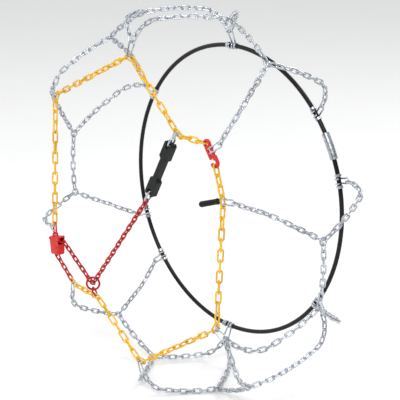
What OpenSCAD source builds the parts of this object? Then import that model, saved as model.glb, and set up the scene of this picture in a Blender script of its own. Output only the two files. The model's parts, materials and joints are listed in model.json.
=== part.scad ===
// Diamond-pattern snow chain, closed round a 205/70 R16 tyre. The tyre itself is left out.
// Origin at the wheel's centre. Y is the wheel's axis, with the outer face towards -Y. Z is up.
// Angles round the wheel are clockwise from the top, seen from the outer side.
// "Meridian" distances run across the tread from its centre line, negative towards the outer side.

/* [Tyre seat] */
// Radius of the tread at its centre line
tread_r = 347; // [300:1:380]
// Half of the flat tread's width
tread_half = 76; // [60:1:95]
// How much lower the tread's edge is than its centre
crown = 10; // [0:1:20]
// Half of the tyre's width
tyre_half = 103; // [85:1:120]
// Radius where the rounded shoulder meets the flat sidewall
wall_r = 274; // [240:1:300]
// Squareness of the shoulder, 2 being an ellipse
shoulder_n = 2.3; // [2:0.1:4]
// Height of the chains' centre line over the rubber
lift = 4.5; // [3:0.1:8]

/* [Cross chains] */
// Pitch of the silver links
cross_pitch = 13.3; // [11:0.1:16]
// Wire thickness of the silver links
cross_wire = 2.9; // [2.5:0.1:4]
// Outer width of the silver links
cross_w = 10.6; // [9:0.1:13]
// Thickness of the ring where three runs meet
ring_wire = 3.2; // [2.5:0.1:4]
// Outer diameter of that ring
ring_od = 16.6; // [15:0.1:20]

/* [Side chain] */
// Pitch of the yellow links
side_pitch = 19.3; // [16:0.1:24]
// Wire thickness of the yellow links
side_wire = 3.2; // [2.5:0.1:4]
// Outer width of the yellow links
side_w = 12; // [10:0.1:15]
// Distance of the side chain's plane from the wheel's middle plane
side_y = 108; // [104:0.5:115]

/* [Tension chain] */
// Pitch of the red links
red_pitch = 12.7; // [11:0.1:15]
// Wire thickness of the red links
red_wire = 3; // [2.5:0.1:4]
// Outer width of the red links
red_w = 10.2; // [9:0.1:12]
// Distance of the tension line's plane from the wheel's middle plane
line_y = 115; // [110:0.5:125]
// Outer diameter of the guide ring
guide_od = 28; // [24:1:34]
// Wire thickness of the guide ring
guide_wire = 4; // [3:0.5:5]
// Length of the rubber band
band_l = 116.7; // [90:0.1:140]
// Width of the rubber band's heads
band_w = 20; // [16:1:28]
// Width of the rubber band's neck
band_neck = 10; // [8:1:18]
// Thickness of the rubber band
band_t = 12; // [8:1:16]

/* [Inner cable] */
// Radius of the hoop that the inner cable makes
cable_r = 272; // [250:1:290]
// Distance of the hoop from the wheel's middle plane
cable_y = 111; // [108:0.5:120]
// Thickness of the cable with its plastic sleeve
cable_d = 8; // [6:0.5:10]
// Angle round the wheel of the cable's coupling
coupling_at = 62; // [55:1:68]

/* [Lock] */
// Thickness of the lock over its cover
lock_t = 15; // [13:0.5:18]
// Thickness of the lock's plates and walls
lock_wall = 1.8; // [1.2:0.1:2.5]

/* [Hidden] */
$fn = 28;
gap = 0.5;
slip = 0.05;
steps = 48;
clip_wire = 3;
clip_wrap = 245;
ring_r = (ring_od - ring_wire) / 2;
narrow = 4.6;
wide = 6.6;
foot = 4.1;
side_core = (side_wire + clip_wire) / 2 + 0.12;
cable_core = (cable_d + clip_wire) / 2 + 0.12;
out_up = [0, -1, 0];
in_up = [0, 1, 0];
yellow = [0.95, 0.68, 0.08];
silver = [0.74, 0.76, 0.79];
red = [0.78, 0.1, 0.09];
bright_red = [0.86, 0.18, 0.12];
black = [0.07, 0.07, 0.08];

// ---- Points on the tyre ----
shoulder_w = tyre_half - tread_half;
shoulder_h = tread_r - crown - wall_r;
shoulder_pts = [
    for (t = [0 : 1.5 : 90])
        [shoulder_w * pow(sin(t), 2 / shoulder_n), shoulder_h * pow(cos(t), 2 / shoulder_n)]
];
shoulder_arc = total([for (i = [1 : len(shoulder_pts) - 1]) norm(shoulder_pts[i] - shoulder_pts[i - 1])]);

function total(v) = v * [for (x = v) 1];
function unit(v) = v / norm(v);
function turn_of(a) = 90 * max(0, min((a - tread_half) / shoulder_arc, 1));
function flat_past(a) = max(0, a - tread_half - shoulder_arc);
function seat_y(a) =
    a <= tread_half ? a : tread_half + shoulder_w * pow(sin(turn_of(a)), 2 / shoulder_n);
function seat_r(a) =
    a <= tread_half
        ? tread_r - crown * pow(a / tread_half, 2)
        : wall_r + shoulder_h * pow(cos(turn_of(a)), 2 / shoulder_n) - flat_past(a);
function normal_yr(a) =
    a <= tread_half
        ? unit([2 * crown * a / pow(tread_half, 2), 1])
        : unit([
            pow(sin(turn_of(a)), 2 - 2 / shoulder_n) / shoulder_w,
            pow(cos(turn_of(a)), 2 - 2 / shoulder_n) / shoulder_h
        ]);
// The meridian distance, without its sign, where the surface has radius r
function meridian_at(r) =
    r < wall_r
        ? tread_half + shoulder_arc + wall_r - r
        : tread_half + shoulder_arc * acos(pow((r - wall_r) / shoulder_h, shoulder_n / 2)) / 90;
// Angle round the wheel and meridian distance, as [angle, m]
function normal_at(p) =
    let (n = normal_yr(abs(p[1])))
        [n[1] * sin(p[0]), (p[1] < 0 ? -1 : 1) * n[0], n[1] * cos(p[0])];
function on_tyre(p) =
    let (r = seat_r(abs(p[1])), y = (p[1] < 0 ? -1 : 1) * seat_y(abs(p[1])))
        [r * sin(p[0]), y, r * cos(p[0])] + lift * normal_at(p);
function polar(angle, r, y) = [r * sin(angle), y, r * cos(angle)];
function flat(x, z, y) = [x, -y, z];

// ---- Side chain corners: where its links carry a clip ----
a_at = polar(-6, 272, -side_y);
b_at = polar(-55.5, 301, -side_y);
d_at = polar(-131.9, 280.5, -side_y);
e_at = polar(-178, 284, -side_y);
f_at = polar(130, 249, -side_y);
g_at = flat(206.9, 64.5, side_y);
k_at = flat(-142, -195.7, side_y);
p_at = flat(97.6, 159.1, side_y);
h_at = flat(180.7, 146, side_y);
lock_at = flat(-255.9, -121.9, 112.5);
lock_x = [0.99, 0, 0.138];
lock_z = [-0.138, 0, 0.99];
hook_x = [0.557, 0, -0.832];
hook_out = [0.832, 0, 0.557];
function in_lock(x, z) = lock_at + x * lock_x + z * lock_z;
// The chain's way through the lock: centres of the end bends of its flat-lying links
lock_path = [
    in_lock(-6, -17), in_lock(-6.7, -7.9), in_lock(1.3, 6.3), in_lock(9.5, 10.4), in_lock(25.6, 8.4)
];
red_hang = (red_w - red_wire) / 2 - (red_wire + gap) / 2;

// Middles of the closing hook's two openings, from its clip bar
eye_spot = [-14, -5];
bowl_spot = [21, -5];
eye_centre = h_at + eye_spot[0] * hook_x + eye_spot[1] * hook_out;
bowl_centre = h_at + bowl_spot[0] * hook_x + bowl_spot[1] * hook_out;
shackle_low = in_lock(-2, 24.2);
shackle_dir = unit(b_at - shackle_low + [-24, 0, 0]);
shackle_top = shackle_low + (side_pitch + 0.4) * shackle_dir;
ring_at = flat(-140.2, -168.4, line_y);

// Outward direction at a corner between two neighbours: against the pull of both
function outward(p, from, to) = -unit(unit(flatten(from - p)) + unit(flatten(to - p)));
function flatten(v) = [v[0], 0, v[2]];
// Direction along a corner link, which lies across the outward one, towards the neighbour "to"
function across(e, p, to) = let (d = cross(e, [0, 1, 0])) d * (to - p) > 0 ? d : -d;

shackle_flat = unit(flatten(shackle_dir));
a_out = outward(a_at, b_at, p_at);
b_out = outward(b_at, shackle_top, a_at);
d_out = outward(d_at, lock_path[0], k_at);
e_out = outward(e_at, k_at, f_at);
f_out = outward(f_at, e_at, g_at);
g_out = outward(g_at, f_at, bowl_centre);
p_in = flatten([-0.49, 0, -0.871]);
k_in = [0.05, 0, 1];
c_out = cross(shackle_flat, [0, 1, 0]);

// ---- Clips ----
// Each row: middle of the wrapped wire, outward direction, reach, bend radius, and the middle of
// its two runs' directions
outer_clip_rows = [
    [a_at + side_edge(a_out), a_out, 19, wide, 11],
    [b_at + side_edge(b_out), b_out, 19, wide, 5],
    [(shackle_low + shackle_top) / 2 + side_edge(c_out), c_out, 16, narrow, 0],
    [d_at + side_edge(d_out), d_out, 17, narrow, 0],
    [e_at + side_edge(e_out), e_out, 19, wide, -1],
    [f_at + side_edge(f_out), f_out, 20, wide, -8],
    [g_at + side_edge(g_out), g_out, 18, narrow, 0],
    [h_at, hook_out, 20, narrow, 0]
];
inner_clip_angles = [-1, -56, -111, -131, -178, 126, 75, 49];
inner_clip_bends = [wide, wide, narrow, narrow, wide, wide, narrow, narrow];
function side_edge(e) = (side_w - side_wire) / 2 * e;
// Where a clip's bend is centred, over the tyre, as [angle, m]
function bend_spot(from, e, reach, side) =
    let (q = flatten(from) + reach * e) [atan2(q[0], q[2]), side * meridian_at(norm(q) )];
function outer_bend(i) =
    bend_spot(outer_clip_rows[i][0], outer_clip_rows[i][1], outer_clip_rows[i][2], -1);
function inner_bend(i) =
    bend_spot(
        polar(inner_clip_angles[i], cable_r, 0),
        polar(inner_clip_angles[i], 1, 0),
        inner_reach,
        1
    );
inner_reach = 22;

// ---- Net of cross chains ----
// Rings where three runs meet, as [angle, m]
rings = [
    [-20, 0], [16, 10], [37, -14], [88, -21], [108, -10], [147, -23],
    [167, 0], [197, 0], [217, 0], [261, 0], [281, 0], [321, 0]
];
// Outer runs: clip, ring, sideways bow in degrees, way the links twist
outer_runs = [
    [0, 0, 0, 1], [0, 1, 0, -1], [7, 2, 1.5, 1], [6, 3, -1, -1],
    [5, 4, 0.8, 1], [5, 5, 0, -1], [4, 6, 0, 1], [4, 7, 0, -1],
    [3, 8, 0, 1], [2, 9, 0, -1], [1, 10, 0, 1], [1, 11, 0, -1]
];
// Inner runs: clip, ring, bow, twist
inner_runs = [
    [0, 0, 0, -1], [0, 1, 0, 1], [7, 2, 0, -1], [6, 3, 0, 1],
    [5, 4, 0, -1], [5, 5, 0, 1], [4, 6, 0, -1], [4, 7, 0, 1],
    [3, 8, 0, -1], [2, 9, 0, 1], [1, 10, 0, -1], [1, 11, 0, 1]
];
// Runs along the tread: ring, ring, twist
centre_runs = [[1, 2, 1], [3, 4, -1], [5, 6, 1], [7, 8, -1], [9, 10, 1], [11, 12, -1]];

function unwound(a, near) = [a[0] + 360 * round((near[0] - a[0]) / 360), a[1]];
function ring_spot(i) = i < 12 ? rings[i] : [rings[0][0] + 360, rings[0][1]];
function between(a, b, bow, t) = [a[0] + (b[0] - a[0]) * t + bow * sin(180 * t), a[1] + (b[1] - a[1]) * t];
function running(v) = [for (s = 0, i = 0; i <= len(v); s = s + (i < len(v) ? v[i] : 0), i = i + 1) s];
// Turn of link k of n. Both end links stand on edge, and the middle of a long run lies slantwise
function link_roll(k, n, twist) =
    n % 2 == 0
        ? 90 + 90 * k + twist * 90 * k / (n - 1)
        : 90 + 90 * k + (n > 5 ? twist * 45 * sin(180 * k / (n - 1)) : 0);
// How much a link stands on edge, from 0 lying flat to 1
function on_edge(k, n, twist) = pow(sin(link_roll(k, n, twist)), 2);
// A run bends at the middle of an end bend of the link on edge, this far past the joint
function bend_past(k, n, twist) =
    k == 0 || k == n ? 0 : link_hang * (on_edge(k, n, twist) - on_edge(k - 1, n, twist));
link_hang = (cross_w - cross_wire) / 2 - (cross_wire + gap) / 2;
// Where a run from a to b bends, as [angle, m]. Its joints are evenly spaced, but for the cut at b
function spots(a, b, bow, cut_a, cut_b, twist) =
    let (
        pts = [for (i = [0 : steps]) on_tyre(between(a, b, bow, i / steps))],
        so_far = running([for (i = [1 : steps]) norm(pts[i] - pts[i - 1])]),
        table = [for (i = [0 : steps]) [so_far[i], i / steps]],
        length = so_far[steps] - cut_a - cut_b,
        n = round(length / cross_pitch)
    )
        [
            for (k = [0 : n])
                between(a, b, bow, lookup(cut_a + length * k / n + bend_past(k, n, twist), table))
        ];
ring_cut = ring_r - ring_wire / 2 - gap / 2;
// Joint in the bend of a clip, as [angle, m]: towards the ring, and well to its own side in a
// wide bend, which two runs share
function bend_joint(c, ring, bend) =
    let (
        r = norm(flatten(on_tyre(c))),
        tread_way = c[1] < 0 ? 1 : -1,
        heading = atan2((ring[0] - c[0]) * PI / 180 * r, tread_way * (ring[1] - c[1])),
        least = bend == wide ? wide_spread : 0,
        way = (heading < 0 ? -1 : 1) * max(abs(heading), least),
        cut = bend - clip_wire / 2 - gap / 2
    )
        [c[0] + cut * sin(way) / r * 180 / PI, c[1] + tread_way * cut * cos(way)];
wide_spread = 29.5;
function outer_spots(i) =
    let (r = outer_runs[i], ring = rings[r[1]], c = unwound(outer_bend(r[0]), ring))
        spots(bend_joint(c, ring, outer_clip_rows[r[0]][3]), ring, r[2], 0, ring_cut, r[3]);
function inner_spots(i) =
    let (r = inner_runs[i], ring = rings[r[1]], c = unwound(inner_bend(r[0]), ring))
        spots(bend_joint(c, ring, inner_clip_bends[r[0]]), ring, r[2], 0, ring_cut, r[3]);
function centre_spots(i) =
    let (r = centre_runs[i]) spots(ring_spot(r[0]), ring_spot(r[1]), 0, ring_cut, ring_cut, r[2]);

// A clip's two axes in the plane of its bend: off its wire, and along its wire
function clip_axes(from, to, away, core) =
    let (d = to - from, wire_dir = unit(cross(away, d)), lean = asin(core / norm(d)))
        [cos(lean) * unit(d) - sin(lean) * unit(cross(unit(d), wire_dir)), wire_dir];
// Joint of a run that hangs in a clip's bend and goes on to the point q. Where two runs share the
// clip, "middle" is half way between their directions, in degrees off the clip's own
function clip_joint(from, to, away, bend, core, q, middle) =
    let (
        axes = clip_axes(from, to, away, core),
        heading = atan2((q - to) * axes[1], (q - to) * axes[0]),
        off = heading - middle,
        way = middle + (off < 0 ? -1 : 1) * max(abs(off), bend == wide ? wide_spread : 0),
        wire = to + bend * (cos(way) * axes[0] + sin(way) * axes[1])
    )
        wire - (clip_wire + gap) / 2 * unit(q - wire);
function outer_start(i, s) =
    let (c = outer_runs[i][0], row = outer_clip_rows[c])
        clip_joint(row[0], on_tyre(outer_bend(c)), out_up, row[3], outer_core(c), on_tyre(s[1]), row[4]);
function outer_core(c) = c == 7 ? hook_core : side_core;
function inner_start(i, s) =
    let (c = inner_runs[i][0])
        clip_joint(
            polar(inner_clip_angles[c], cable_r, cable_y), on_tyre(inner_bend(c)), in_up,
            inner_clip_bends[c], cable_core, on_tyre(s[1]), 0
        );

// ---- Shared shapes ----
// Turns a child's x axis along a line, its z axis to "up" turned by "roll" round the line
module placed(o, along, up, roll = 0) {
    x = unit(along);
    side = unit(cross(up, x));
    z = cos(roll) * cross(x, side) + sin(roll) * side;
    y = cross(z, x);
    multmatrix([
        [x[0], y[0], z[0], o[0]],
        [x[1], y[1], z[1], o[1]],
        [x[2], y[2], z[2], o[2]],
        [0, 0, 0, 1]
    ])
        children();
}

// Straight round bar between two points
module bar(p, q, d) {
    v = q - p;
    up = abs(v[2]) > 0.9 * norm(v) ? [1, 0, 0] : [0, 0, 1];
    placed(p, v, up) rotate([0, 90, 0]) cylinder(h = norm(v), d = d);
}

// Part of a wire ring in the XY plane, from angle a0 on
module arc(r, wire, a0, sweep) {
    rotate(a0) rotate_extrude(angle = sweep) translate([r, 0]) circle(d = wire);
}

// Closed wire link along X in the XY plane. Both sizes are along the wire's centre.
// Its straights are rounded to an even number of microns, so that both halves meet exactly
module loop(long, w, wire) {
    straight = round((long - w) * 500) / 500;
    for (s = [0, 180])
        rotate(s) {
            translate([straight / 2, 0, 0]) arc(w / 2, wire, -90, 180);
            translate([-straight / 2, w / 2, 0]) rotate([0, 90, 0]) cylinder(h = straight, d = wire);
        }
}

// One link hanging between two joints
module link(p, q, up, roll, wire, w) {
    placed((p + q) / 2, q - p, up, roll) loop(norm(q - p) + wire + gap, w - wire, wire);
}

// Links over the tyre from a joint through a list of spots
module cross_chain(start, s, twist) {
    n = len(s) - 1;
    color(silver)
        for (k = [0 : n - 1]) {
            a = k == 0 ? start : on_tyre(s[k]);
            b = on_tyre(s[k + 1]);
            u = unit(b - a);
            link(
                a - bend_past(k, n, twist) * u, b - bend_past(k + 1, n, twist) * u,
                normal_at((s[k] + s[k + 1]) / 2), link_roll(k, n, twist), cross_wire, cross_w
            );
        }
}

// Red links in a straight line between two joints, crossed in turn
module red_chain(p, q, n, roll) {
    for (k = [0 : n - 1])
        link(p + (q - p) * k / n, p + (q - p) * (k + 1) / n, out_up, roll + 90 * k, red_wire, red_w);
}

// Short runs take an odd number of links, so that both ends stand on edge
function link_count(p, q) =
    let (n = norm(q - p) / side_pitch) n < 5 ? 2 * floor(n / 2) + 1 : round(n);

// Yellow run between two joints
module side_run(p, q, twist) {
    n = link_count(p, q);
    for (k = [0 : n - 1])
        link(
            p + (q - p) * k / n, p + (q - p) * (k + 1) / n, out_up,
            link_roll(k, n, twist), side_wire, side_w
        );
}

module side_link(p, along) {
    half = side_pitch / 2 * unit(along);
    link(p - half, p + half, out_up, 0, side_wire, side_w);
}

// Middle of the end bend, of the corner link at p, that faces "to"
function corner_eye(p, e, to) = p + (side_pitch / 2 - side_hang) * across(e, p, to);
// Joint of a link that hangs in the end bend of another, pulled towards "to"
side_hang = (side_w - side_wire) / 2 - (side_wire + gap) / 2;
function hung(eye, to) = eye + side_hang * unit(to - eye);

// U-shaped wire clip, both feet wrapped round a wire that lies along Y
module clip(reach, bend, core) {
    for (s = [-1, 1]) {
        translate([0, s * foot, 0]) rotate([90, 0, 0]) arc(core, clip_wire, 90, clip_wrap);
        bar([0, s * foot, core], [reach, s * bend, core], clip_wire);
        translate([0, s * foot, core]) sphere(d = clip_wire * 1.03);
        translate([reach, s * bend, core]) sphere(d = clip_wire * 1.03);
    }
    translate([reach, 0, core]) arc(bend, clip_wire, -90, 180);
}

// Yellow run hung between the end bends of two corner links
module hung_run(eye, other, twist) {
    side_run(hung(eye, other), hung(other, eye), twist);
}

// A clip from the wire at "from" to the bend over the spot "to". "away" points off the tyre
module placed_clip(from, to, away, bend, core) {
    reach = sqrt((to - from) * (to - from) - core * core);
    placed(from, clip_axes(from, to, away, core)[0], away) clip(reach, bend, core);
}

// ---- Net ----
module outer_cross(i) {
    s = outer_spots(i);
    cross_chain(outer_start(i, s), s, outer_runs[i][3]);
}

module inner_cross(i) {
    s = inner_spots(i);
    cross_chain(inner_start(i, s), s, inner_runs[i][3]);
}

module centre_run(i) {
    s = centre_spots(i);
    cross_chain(on_tyre(s[0]), s, centre_runs[i][2]);
}

module junction_rings() {
    color(silver)
        for (r = rings)
            placed(on_tyre(r), [cos(r[0]), 0, -sin(r[0])], normal_at(r)) arc(ring_r, ring_wire, 0, 360);
}

module outer_clips() {
    color(silver)
        for (i = [0 : 7]) {
            row = outer_clip_rows[i];
            placed_clip(row[0], on_tyre(outer_bend(i)), out_up, row[3], outer_core(i));
        }
}

module inner_clips() {
    color(silver)
        for (i = [0 : 7])
            placed_clip(
                polar(inner_clip_angles[i], cable_r, cable_y), on_tyre(inner_bend(i)), in_up,
                inner_clip_bends[i], cable_core
            );
}

// ---- Side chain ----
module side_chain_cb() {
    color(yellow) {
        hung_run(shackle_top - side_hang * shackle_dir, corner_eye(b_at, b_out, shackle_top), 1);
        side_link(b_at, across(b_out, b_at, a_at));
    }
}

module side_chain_ba() {
    color(yellow) {
        hung_run(corner_eye(b_at, b_out, a_at), corner_eye(a_at, a_out, b_at), -1);
        side_link(a_at, across(a_out, a_at, p_at));
    }
}

module side_chain_ah() {
    start = hung(corner_eye(p_at, p_in, eye_centre), eye_centre);
    finish = eye_hang(eye_centre, start, eye_play);
    color(yellow) {
        hung_run(corner_eye(a_at, a_out, p_at), corner_eye(p_at, p_in, a_at), 1);
        side_link(p_at, across(p_in, p_at, eye_centre));
        side_run(start, finish, 1);
    }
}

module side_chain_gh() {
    start = hung(corner_eye(g_at, g_out, bowl_centre), bowl_centre);
    finish = eye_hang(bowl_centre, start, bowl_play);
    color(yellow) {
        side_link(g_at, across(g_out, g_at, bowl_centre));
        side_run(start, finish, 1);
    }
}

module side_chain_fg() {
    color(yellow) {
        side_link(f_at, across(f_out, f_at, g_at));
        hung_run(corner_eye(f_at, f_out, g_at), corner_eye(g_at, g_out, f_at), 1);
    }
}

module side_chain_ef() {
    color(yellow) {
        side_link(e_at, across(e_out, e_at, f_at));
        hung_run(corner_eye(e_at, e_out, f_at), corner_eye(f_at, f_out, e_at), -1);
    }
}

module side_chain_de() {
    color(yellow) {
        side_link(d_at, across(d_out, d_at, k_at));
        hung_run(corner_eye(d_at, d_out, k_at), corner_eye(k_at, k_in, d_at), 1);
        side_link(k_at, across(k_in, k_at, e_at));
        hung_run(corner_eye(k_at, k_in, e_at), corner_eye(e_at, e_out, k_at), -1);
    }
}

// ---- Closing hook ----
hook_t = 4.4;
eye_r = 3.9;
bowl_r = 4.4;
hook_bar = 4;
hook_core = norm([hook_bar, hook_t]) / 2 + clip_wire / 2 + 0.1;
// A link's end bows back by this much inside the plate's thickness
end_bow = (side_w - side_wire) / 2 - sqrt(pow((side_w - side_wire) / 2, 2) - pow(hook_t / 2, 2));
eye_play = eye_r - side_wire / 2 - end_bow - 0.45;
bowl_play = bowl_r - side_wire / 2 - end_bow - 0.45;
// Joint of a link that hangs in a plate's opening, pulled towards "to"
function eye_hang(c, to, play) = c + (play + (side_wire + gap) / 2) * unit(to - c);

module closing_hook() {
    neck = [11, -5];
    body_l = neck[0] - eye_spot[0];
    body_w = 14.2;
    top = hook_bar / 2;
    color(bright_red)
        placed(h_at, hook_x, out_up)
            translate([0, 0, -hook_t / 2])
                linear_extrude(hook_t)
                    difference() {
                        union() {
                            translate(eye_spot) circle(r = 7.6);
                            translate([eye_spot[0], top - body_w]) square([body_l, body_w]);
                            translate([neck[0], -3]) square([bowl_spot[0] - neck[0], 7]);
                            translate(neck) circle(r = 7.2);
                            translate(bowl_spot) circle(r = 9.2);
                        }
                        translate(eye_spot) circle(r = eye_r);
                        // Slot for the clip, and the way into the bowl
                        translate([-6.6, -8.4]) square([13.2, 8.4 - top]);
                        translate(bowl_spot) circle(r = bowl_r);
                        translate([12.6, -10.4]) square([8.4, 6.2]);
                        translate([13, -16]) square([6, 8]);
                    }
}

// ---- Tension line ----
v_along = unit([0.97, -0.12, 0.22]);
v_at = flat(-140.2, -165.8, line_y + 1);
v_half = red_pitch / 2 - red_hang;
v_low = v_at - v_half * v_along;
v_high = v_at + v_half * v_along;
q_at = flat(21.7, 29.4, line_y);
band_dir = [0.49, 0, 0.871];
pull_dir = unit(q_at - v_high);
pull_start = v_high + red_hang * pull_dir;
band_low = flat(30.8, 41.2, line_y);
band_top = band_low + band_l * band_dir;

module lock_shackle() {
    color(bright_red) link(shackle_low, shackle_top, out_up, 0, side_wire, side_w);
}

// The closed end of the tension chain, from the side chain up through the lock
module lock_strand() {
    eye = corner_eye(d_at, d_out, lock_path[0]);
    last = lock_path[0] - red_hang * unit(lock_path[0] - eye);
    color(red) {
        red_chain(hung(eye, last), last, 5, 90);
        for (k = [0 : 3]) {
            a = lock_path[k];
            b = lock_path[k + 1];
            past = (k % 2 == 0 ? 1 : -1) * red_hang * unit(b - a);
            link(a - past, b + past, out_up, 90 * k, red_wire, red_w);
        }
    }
}

// From the lock to the guide ring, with the link that lies in the ring
module return_strand() {
    back = red_hang * unit(v_low - lock_path[4]);
    color(red) {
        red_chain(lock_path[4] - back, v_low - back, 8, 0);
        half = red_pitch / 2 * v_along;
        link(v_at - half, v_at + half, out_up, 0, red_wire, red_w);
    }
}

module pull_chain() {
    color(red) red_chain(pull_start, q_at, 20, 90);
}

guide_r = (guide_od - guide_wire) / 2;

module guide_ring() {
    color(red) placed(ring_at, [0, 0, 1], [1, -1, 0]) arc(guide_r, guide_wire, 0, 360);
}

// The ring's shackle is wide, and turned half way between the side chain and the ring
shackle_w = 12.2;
shackle_turn = -35;

module ring_shackle() {
    low = k_at + side_edge(unit(k_in));
    top = ring_at - [0, 0, guide_r];
    d = unit(top - low);
    p = low - (side_wire / 2 + gap / 2) * d;
    q = top + (guide_wire / 2 + gap / 2) * d;
    color(red) link(p, q, out_up, 90 + shackle_turn, red_wire, shackle_w);
}
// ---- Rubber tensioner ----
loop_w = 12;
loop_wire = 3.5;
eye_t = 6;
band_hole = 9;
band_wall = 4.5;
// From the band's end to the wire of a loop that hangs in its eye
loop_in = band_wall + loop_wire / 2 + 0.6 + loop_w / 2 - sqrt(pow(loop_w / 2, 2) - pow(eye_t / 2, 2));

module chain_connector() {
    far = band_low + loop_in * band_dir;
    p = q_at - (loop_wire + gap) / 2 * unit(far - q_at);
    color(silver)
        placed((p + far) / 2, far - p, out_up, 90) loop(norm(far - p), loop_w, loop_wire);
}

module tensioner_band() {
    head = 34;
    slope = 3;
    tip = 3;
    mid = band_l / 2;
    hw = band_w / 2;
    nw = band_neck / 2;
    c = band_wall + band_hole / 2;
    outline = [[0, hw - tip], [tip, hw], [head, hw], [head + slope, nw], [mid, nw]];
    color(black)
        placed(band_low, band_dir, out_up)
            difference() {
                translate([0, 0, -band_t / 2]) linear_extrude(band_t) polygon(mirrored(outline, mid));
                // Each end has a hole, and a recess in both faces where a wire loop lies
                for (s = [0, 180])
                    translate([mid, 0, 0])
                        rotate(s)
                            translate([-mid, 0, 0]) {
                                translate([c, 0, -band_t]) cylinder(h = 2 * band_t, d = band_hole);
                                for (z = [eye_t / 2, -eye_t / 2 - band_t])
                                    translate([-1, -band_hole / 2, z]) cube([c + 1, band_hole, band_t]);
                            }
            }
}

// Outline from a quarter of it: mirrored about x = mid and about y = 0
function mirrored(q, mid) =
    let (
        back = [for (i = [len(q) - 2 : -1 : 0]) [2 * mid - q[i][0], q[i][1]]],
        top = concat(q, back)
    )
        concat(top, [for (i = [len(top) - 1 : -1 : 0]) [top[i][0], -top[i][1]]]);

module tensioner_hook() {
    apex = loop_in;
    reach = norm(flatten(p_at - band_top));
    rise = line_y - side_y;
    near_end = reach - 8.6;
    strip_w = 6;
    strip_t = 4;
    claw_t = 3.4;
    past_link = 4.5;
    color(silver)
        placed(band_top, band_dir, out_up) {
            translate([(near_end - apex) / 2, 0, 0])
                rotate([90, 0, 0])
                    loop(near_end + apex, loop_w, loop_wire);
            translate([near_end - 1, -strip_w / 2, -strip_t / 2]) cube([10.6, strip_w, strip_t]);
            translate([near_end + 6.6, -strip_w / 2, -rise - past_link])
                cube([claw_t, strip_w, rise + past_link + strip_t / 2]);
        }
}

// ---- Lock ----
lock_in_t = lock_t - 2 * lock_wall;
pin_r = 1.5;
roller_at = [5.5, -2.5];
pawl_at = [8, -11.8];
rivet_spots = [[-11.1, 15.2]];
pin_spots = concat(rivet_spots, [roller_at, pawl_at]);
pin_head_r = 2.2;
pin_head_t = 0.95;
// Rounded horn over the chain's way out
horn = [14.5, 15.3];
horn_r = 4.5;
roller_r = 5;
roller_l = 10;
pawl_t = 7;
spring_w = 6;

module lock_frame() {
    placed(lock_at, lock_x, out_up) children();
}

// Outline of the lock's plates, grown inwards by "inset"
module lock_outline(inset) {
    r = 3;
    left = -14.2 + inset;
    right = 13.5 - inset;
    low = -17 + inset;
    high = 18.6 - inset;
    translate([left + r, low]) square([right - left - 2 * r, high - low]);
    translate([left, low + r]) square([right - left, high - low - 2 * r]);
    for (x = [left + r, right - r], z = [low + r, high - r]) translate([x, z]) circle(r = r);
}

// Bores for the pins, through both plates
module pin_bores() {
    for (s = pin_spots)
        translate([s[0], s[1], -lock_t]) cylinder(h = 2 * lock_t, r = pin_r + slip);
}

module lock_housing() {
    eye = [-2, 21.2];
    lug_r = 5.6;
    lug_t = 4;
    lug_foot = 17;
    box_t = lock_t - lock_wall;
    back = -lock_t / 2;
    color(bright_red)
        lock_frame()
            difference() {
                union() {
                    translate([0, 0, back]) linear_extrude(box_t) lock_outline(0);
                    translate([eye[0] - lug_t / 2, eye[1], 0])
                        rotate([0, 90, 0])
                            cylinder(h = lug_t, r = lug_r);
                    translate([eye[0] - lug_t / 2, lug_foot, -lug_r])
                        cube([lug_t, eye[1] - lug_foot, 2 * lug_r]);
                    translate([horn[0], horn[1], back]) cylinder(h = box_t, r = horn_r);
                    translate([9, 16.8, back]) cube([6, lock_wall, box_t]);
                }
                difference() {
                    translate([0, 0, -lock_in_t / 2]) linear_extrude(lock_t) lock_outline(lock_wall);
                    for (s = rivet_spots)
                        translate([s[0], s[1], back]) cylinder(h = lock_t, r = 2.7);
                }
                translate([eye[0] - lug_t, eye[1], 0]) rotate([0, 90, 0]) cylinder(h = 2 * lug_t, r = 3.9);
                pin_bores();
                // Where the chain comes in below, and where it goes out beside the horn
                translate([-11.8, -20, -lock_in_t / 2]) cube([13.8, 6, lock_t]);
                translate([8, 3.2, -lock_in_t / 2]) cube([13, 13.4, lock_t]);
            }
}

module lock_cover() {
    color(bright_red)
        lock_frame()
            translate([0, 0, lock_t / 2 - lock_wall + slip])
                difference() {
                    linear_extrude(lock_wall) {
                        lock_outline(0);
                        translate(horn) circle(r = horn_r);
                    }
                    pin_bores();
                }
}

module lock_pins() {
    color(silver)
        lock_frame()
            for (s = pin_spots) {
                translate([s[0], s[1], -lock_t / 2 - 0.8]) cylinder(h = lock_t + 1.6 + slip, r = pin_r);
                for (z = [-lock_t / 2 - 1, lock_t / 2 + 2 * slip])
                    translate([s[0], s[1], z]) cylinder(h = pin_head_t, r = pin_head_r);
            }
}

module lock_roller() {
    bore = pin_r + slip;
    waist = roller_r - 2;
    color(silver)
        lock_frame()
            translate([roller_at[0], roller_at[1], -roller_l / 2])
                rotate_extrude()
                    polygon([
                        [bore, 0], [roller_r, 0], [roller_r, 2.4], [waist, 4],
                        [waist, 6], [roller_r, 7.6], [roller_r, roller_l], [bore, roller_l]
                    ]);
}

module lock_pawl() {
    color(silver)
        lock_frame()
            translate([pawl_at[0], pawl_at[1], -pawl_t / 2])
                difference() {
                    union() {
                        cylinder(h = pawl_t, r = 2.6);
                        linear_extrude(pawl_t)
                            polygon([[0, 2.3], [-5, 2.2], [-8.2, 3.2], [-7.4, -0.2], [0, -2.3]]);
                    }
                    translate([0, 0, -1]) cylinder(h = pawl_t + 2, r = pin_r + slip);
                }
}

module lock_spring() {
    color(silver)
        lock_frame()
            translate([0, 0, -spring_w / 2])
                linear_extrude(spring_w)
                    polygon([[8.5, -15.1], [2, -15.1], [1, -13.2], [1.4, -13], [2.3, -14.7], [8.5, -14.7]]);
}

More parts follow.
